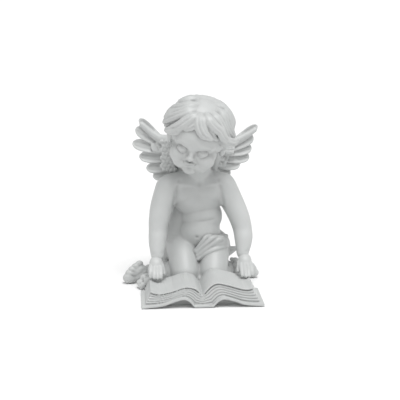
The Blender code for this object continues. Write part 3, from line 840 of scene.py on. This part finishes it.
# Creases pressed into the whole figure after its forms are joined.
DETAIL_CREASES = [
    # Between the knees.
    ([(-1.6, -19.5, 22.0), (-1.4, -20.5, 15.0), (-1.2, -21.0, 8.0)], 1.3, 1.8),
    # Sole and toes of the right foot.
    ([(-54.0, 1.5, 4.5), (-47.0, 1.5, 8.0), (-40.5, 2.0, 13.0)], 1.2, 0.6),
    ([(-57.0, 3.0, 8.0), (-51.5, 1.0, 7.0)], 0.7, 0.35),
    ([(-54.5, 3.0, 11.0), (-49.5, 1.0, 9.5)], 0.7, 0.35),
    ([(-51.5, 3.0, 13.5), (-47.0, 1.0, 11.5)], 0.7, 0.35),
    # Folds of the heaps beside the book.
    ([(-47.5, -12.5, 6.0), (-43.5, -14.5, 1.0)], 0.7, 0.8),
    ([(-45.0, -11.5, 8.0), (-41.0, -14.5, 2.0)], 0.7, 0.8),
    ([(-42.0, -11.5, 9.5), (-38.5, -14.0, 3.0)], 0.7, 0.8),
    # The hollow between the thigh and the heap of cloth.
    ([(23.0, 2.0, 14.0), (23.4, 0.0, 9.5)], 2.0, 3.0),
]


def figurine():
    """All forms fused, from soft to sharp, into one closed surface.

    What lies below the ground is pressed up to it, and the surface is thinned to TRIANGLES.
    """
    flesh_mesh = carved(fused("flesh", flesh(), FLESH_VOXEL, 30), FLESH_CREASES)
    face_mesh = carved(fused("face", placed(face()), HEAD_VOXEL, 14), face_creases())
    digits = (
        hand((-33.0, -17.0, 28.0), -1.0, 9.5)
        + hand((32.2, -17.0, 29.0), 1.0, 12.5)
        + foot((-38.0, 8.0, 8.0), (-1.0, -0.22, 0.0), 16.8, 16.5)
        + foot((33.0, 15.0, 7.5), (1.0, -0.1, 0.0), 11.0, 15.0)
    )
    feathers = (
        wing(RIGHT_EDGE, RIGHT_FEATHERS, -1, RIGHT_ROWS)
        + wing(LEFT_EDGE, LEFT_FEATHERS, 1, LEFT_ROWS)
        + down((-17.5, 13.5, 88.5), (-29.5, 17.5, 110.0), 8)
        + down((22.0, 18.0, 101.0), (29.0, 20.5, 107.0), 3)
    )
    groups = (
        flesh_mesh,
        face_mesh,
        fused("digits", digits, FINE_VOXEL, 4),
        fused("locks", hair(), HEAD_VOXEL, 4),
        fused("wings", feathers, FINE_VOXEL, 2),
        fused("drapery", cloth(), CLOTH_VOXEL, 3),
        mesh_of("sharp", placed(lips_and_lids()) + book()),
    )
    whole = carved(closed(joined_meshes(groups), WHOLE_VOXEL, 2), DETAIL_CREASES)
    places = read(whole, "co")
    places[:, 2] = np.maximum(places[:, 2], 0.0)
    write_places(whole, (places - ORIGIN) * MM)
    mark_recesses(whole)
    whole.calc_loop_triangles()
    ratio = min(1.0, TRIANGLES / len(whole.loop_triangles))
    whole = worked(whole, ("Thin", "DECIMATE", {"ratio": ratio}))
    whole.shade_smooth()
    whole.name = "glazed_figurine"
    return whole


def joined_meshes(meshes):
    """Several meshes as the triangles of one."""
    places, triangles, start = [], [], 0
    for mesh in meshes:
        mesh.calc_loop_triangles()
        corners = np.empty(len(mesh.loop_triangles) * 3, np.int32)
        mesh.loop_triangles.foreach_get("vertices", corners)
        places.append(read(mesh, "co"))
        triangles.append(corners.reshape(-1, 3) + start)
        start += len(mesh.vertices)
    joined = filled("joined", np.vstack(places), np.vstack(triangles))
    for mesh in meshes:
        bpy.data.meshes.remove(mesh)
    return joined


# Finish. Base colours are linear; roughness runs between two values by the same cloud as the tint.
THIN_GLAZE = (0.47, 0.485, 0.48, 1.0)
FULL_GLAZE = (0.56, 0.57, 0.565, 1.0)
# Painted shade: the darker colour that recesses take, standing in for the shade that falls there.
PAINTED_RECESS_SHADE = (0.235, 0.235, 0.235, 1.0)
GLAZE_ROUGHNESS = (0.42, 0.58)
# Depth, in metres, at which a recess takes the full painted shade.
FULL_RECESS = 0.00023


def link(tree, source, output, target, socket):
    """One link from a node's output to another node's input."""
    tree.links.new(source.outputs[output], target.inputs[socket])


def noise(tree, where, scale, detail):
    """Noise on the object's own coordinates."""
    node = tree.nodes.new("ShaderNodeTexNoise")
    node.inputs["Scale"].default_value = scale
    node.inputs["Detail"].default_value = detail
    link(tree, where, "Object", node, "Vector")
    return node


def colour_mix(tree):
    """Mix node for colours."""
    node = tree.nodes.new("ShaderNodeMix")
    node.data_type = "RGBA"
    return node


def glaze():
    """White glaze: slight clouding of colour and gloss, painted shade in the recesses, fine orange peel.
    """
    material = bpy.data.materials.new("white_glaze")
    material.use_nodes = True
    tree = material.node_tree
    shader = tree.nodes["Principled BSDF"]
    shader.inputs["Metallic"].default_value = 0.0
    shader.inputs["Coat Weight"].default_value = 0.16
    shader.inputs["Coat Roughness"].default_value = 0.34
    shader.inputs["IOR"].default_value = 1.5
    where = tree.nodes.new("ShaderNodeTexCoord")

    cloud = noise(tree, where, 60.0, 3.0)
    tint = colour_mix(tree)
    tint.inputs["A"].default_value = THIN_GLAZE
    tint.inputs["B"].default_value = FULL_GLAZE
    link(tree, cloud, "Fac", tint, "Factor")

    recess = tree.nodes.new("ShaderNodeAttribute")
    recess.attribute_name = "recess"
    # Painted shade: the glaze colour darkens towards the recess colour by how deep a place lies in a
    # recess.
    painted_shade = colour_mix(tree)
    painted_shade.inputs["B"].default_value = PAINTED_RECESS_SHADE
    link(tree, tint, "Result", painted_shade, "A")
    link(tree, recess, "Fac", painted_shade, "Factor")
    link(tree, painted_shade, "Result", shader, "Base Color")

    gloss = tree.nodes.new("ShaderNodeMapRange")
    gloss.inputs["To Min"].default_value, gloss.inputs["To Max"].default_value = GLAZE_ROUGHNESS
    link(tree, cloud, "Fac", gloss, "Value")
    link(tree, gloss, "Result", shader, "Roughness")

    peel = noise(tree, where, 900.0, 2.0)
    bump = tree.nodes.new("ShaderNodeBump")
    bump.inputs["Strength"].default_value = 0.12
    bump.inputs["Distance"].default_value = 0.0002
    link(tree, peel, "Fac", bump, "Height")
    link(tree, bump, "Normal", shader, "Normal")
    return material


def mark_recesses(mesh):
    """Attribute from 0 to 1 for how deep each place lies in a recess, the mask of the glaze's painted
    shade.

    Its depth is the way along the normal to the mean of its neighbours, taken six times over. That is
    itself averaged three times and divided by FULL_RECESS.
    """
    count = len(mesh.vertices)
    edges = np.empty(len(mesh.edges) * 2, np.int32)
    mesh.edges.foreach_get("vertices", edges)
    edges = edges.reshape(-1, 2)
    both = np.concatenate((edges, edges[:, ::-1]))
    degree = np.maximum(np.bincount(both[:, 0], minlength=count), 1)
    places, normals = read(mesh, "co"), read(mesh, "normal")

    def mean(values):
        """Mean of each place's neighbours, column by column."""
        sums = [np.bincount(both[:, 0], column[both[:, 1]], count) for column in values.T]
        return np.column_stack(sums) / degree[:, None]

    smooth = places
    for _ in range(6):
        smooth = mean(smooth)
    depth = np.sum((smooth - places) * normals, axis=1)[:, None]
    for _ in range(3):
        depth = mean(depth)
    recess = np.clip(depth[:, 0] / FULL_RECESS, 0.0, 1.0)
    mesh.attributes.new("recess", "FLOAT", "POINT").data.foreach_set("value", recess.astype(np.float32))


# Studio, in metres. The camera stands by azimuth and elevation at a distance from its target. The key
# is a sun, of whose place only the direction counts.
FLOOR_HALF_SIDE = 40.0
WORLD_AT_HORIZON = 1.0
WORLD_OVERHEAD = 0.53
KEY_PLACE = (0.12, -0.36, 1.08)
CAMERA_AZIMUTH, CAMERA_ELEVATION = np.radians((-4.0, 12.0))
CAMERA_DISTANCE = 0.8
CAMERA_TARGET = np.array((0.0, -10.0, 69.17)) * MM - ORIGIN * MM
SENSOR_WIDTH = 36.0
PICTURE_PIXELS = 400
# Size of one picture element at the camera's target.
PIXEL = 0.762 * MM


def pale_floor():
    """Floor: a wide square at the figurine's foot, in matt white."""
    corners = np.array(((-1, -1, 0), (1, -1, 0), (1, 1, 0), (-1, 1, 0)), float) * FLOOR_HALF_SIDE
    mesh = filled("floor", corners, np.array(((0, 1, 2, 3),)))
    material = bpy.data.materials.new("floor_white")
    material.use_nodes = True
    shader = material.node_tree.nodes["Principled BSDF"]
    shader.inputs["Base Color"].default_value = (0.9, 0.9, 0.9, 1.0)
    shader.inputs["Roughness"].default_value = 0.9
    mesh.materials.append(material)
    floor = bpy.data.objects.new("floor", mesh)
    bpy.context.scene.collection.objects.link(floor)


def aimed(obj, place, target):
    """Object at a place, its -z axis towards the target."""
    obj.location = place
    obj.rotation_euler = (Vector(target) - Vector(place)).to_track_quat("-Z", "Y").to_euler()
    bpy.context.scene.collection.objects.link(obj)


def studio():
    """White surroundings, dimmer overhead, where a broad soft key stands in front and to the right.

    The lens is the sensor's width times the distance over the width seen at the target.
    """
    world = bpy.data.worlds.new("studio")
    world.use_nodes = True
    tree = world.node_tree
    tree.nodes["Background"].inputs["Color"].default_value = (1.0, 1.0, 1.0, 1.0)
    way = tree.nodes.new("ShaderNodeTexCoord")
    axes = tree.nodes.new("ShaderNodeSeparateXYZ")
    height = tree.nodes.new("ShaderNodeMapRange")
    height.inputs["From Min"].default_value = 0.02
    height.inputs["From Max"].default_value = 0.18
    height.inputs["To Min"].default_value = WORLD_AT_HORIZON
    height.inputs["To Max"].default_value = WORLD_OVERHEAD
    link(tree, way, "Generated", axes, "Vector")
    link(tree, axes, "Z", height, "Value")
    link(tree, height, "Result", tree.nodes["Background"], "Strength")
    bpy.context.scene.world = world
    bpy.context.scene.view_settings.view_transform = "Standard"
    key = bpy.data.lights.new("key", "SUN")
    key.angle = np.radians(34.0)
    key.energy = 2.3
    aimed(bpy.data.objects.new("key", key), KEY_PLACE, (0.0, 0.0, 0.0))

    data = bpy.data.cameras.new("camera")
    data.lens = SENSOR_WIDTH * CAMERA_DISTANCE / (PICTURE_PIXELS * PIXEL)
    data.clip_start = 0.01
    camera = bpy.data.objects.new("camera", data)
    back = direction(CAMERA_AZIMUTH, CAMERA_ELEVATION)
    aimed(camera, tuple(CAMERA_TARGET + back * CAMERA_DISTANCE), tuple(CAMERA_TARGET))
    bpy.context.scene.camera = camera


shape = figurine()
shape.materials.append(glaze())
piece = bpy.data.objects.new("glazed_figurine", shape)
bpy.context.scene.collection.objects.link(piece)
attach(piece, "root")
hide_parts("angel_figurine")
pale_floor()
studio()
